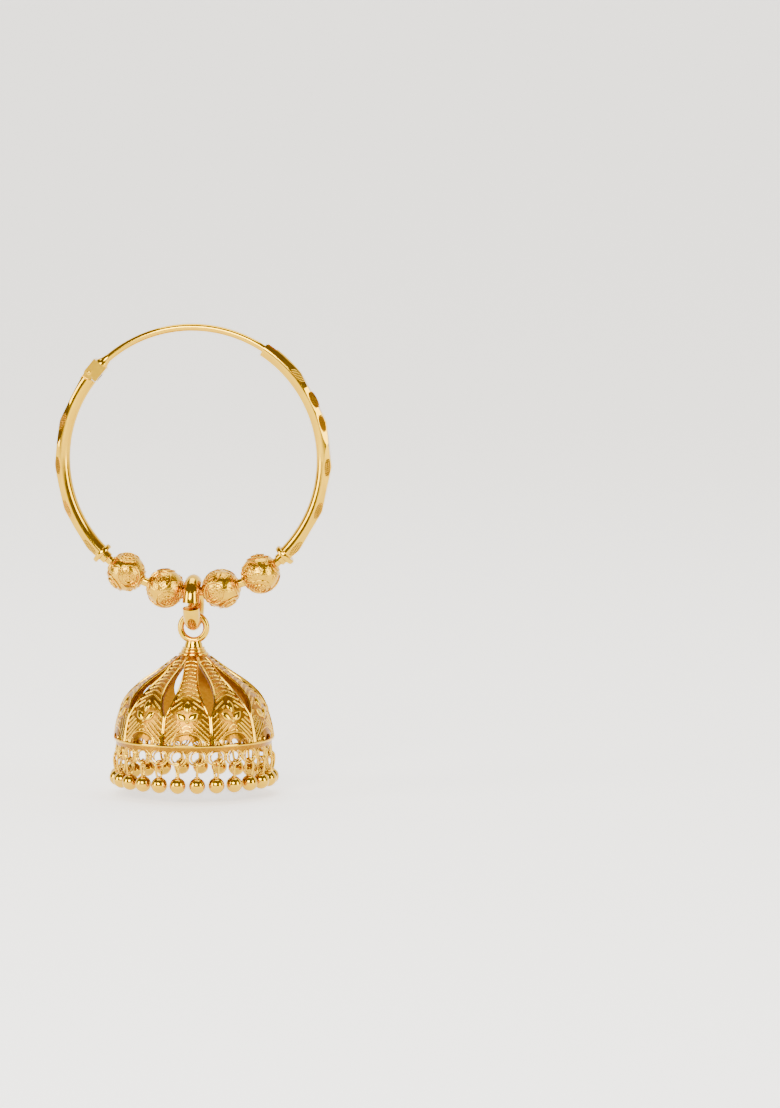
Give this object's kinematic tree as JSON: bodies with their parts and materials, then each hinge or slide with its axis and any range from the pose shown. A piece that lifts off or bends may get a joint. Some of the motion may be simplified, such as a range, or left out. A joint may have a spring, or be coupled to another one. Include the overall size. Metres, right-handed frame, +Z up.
{
  "type": "jhumka earring",
  "caption": "Hinged hoop earring with faceted arms and filigree beads, holding a pierced dome with a fringe of small ball drops on a lace band.",
  "frame": {"origin": "middle of the ear wire, at the top of the hoop, where the earring hangs in the ear", "axes": "+Z up, the front faces -Y, +X to the viewer's right, along the ear wire at the origin"},
  "size_m": [0.0334, 0.0203, 0.0554],
  "materials": {
    "polished_gold": "polished gold plate",
    "satin_gold": "frosted gold plate",
    "deep_gold": "matt stamped gold plate with polished edges"
  },
  "bodies": {
    "hoop": {"hoop": "polished_gold", "hinge_pin": "polished_gold", "bead_1": "satin_gold", "bead_2": "satin_gold", "bead_3": "satin_gold", "bead_4": "satin_gold"},
    "wire": {"ear_wire": "polished_gold"},
    "link": {"link": "polished_gold"},
    "drop": {"dome": "deep_gold", "drop_01": "polished_gold", "drop_02": "polished_gold", "drop_03": "polished_gold", "drop_04": "polished_gold", "drop_05": "polished_gold", "drop_06": "polished_gold", "drop_07": "polished_gold", "drop_08": "polished_gold", "drop_09": "polished_gold", "drop_10": "polished_gold", "drop_11": "polished_gold", "drop_12": "polished_gold", "drop_13": "polished_gold", "drop_14": "polished_gold", "drop_15": "polished_gold", "drop_16": "polished_gold", "drop_17": "polished_gold", "drop_18": "polished_gold", "drop_19": "polished_gold", "drop_20": "polished_gold", "drop_21": "polished_gold", "drop_22": "polished_gold", "drop_23": "polished_gold", "drop_24": "polished_gold", "drop_25": "polished_gold"}
  },
  "joints": [
    {"name": "wire_hinge", "type": "hinge", "parent": "hoop", "child": "wire", "pos_m": [-0.01243, 0, -0.00553], "axis": [0, -1, 0], "range_deg": [0, 60]},
    {"name": "link_swing", "type": "hinge", "parent": "hoop", "child": "link", "pos_m": [0, 0, -0.0317], "axis": [1, 0, 0], "range_deg": [-60, 60]},
    {"name": "drop_swing", "type": "hinge", "parent": "link", "child": "drop", "pos_m": [0, 0, -0.03603], "axis": [0, 1, 0], "range_deg": [-40, 40]}
  ]
}
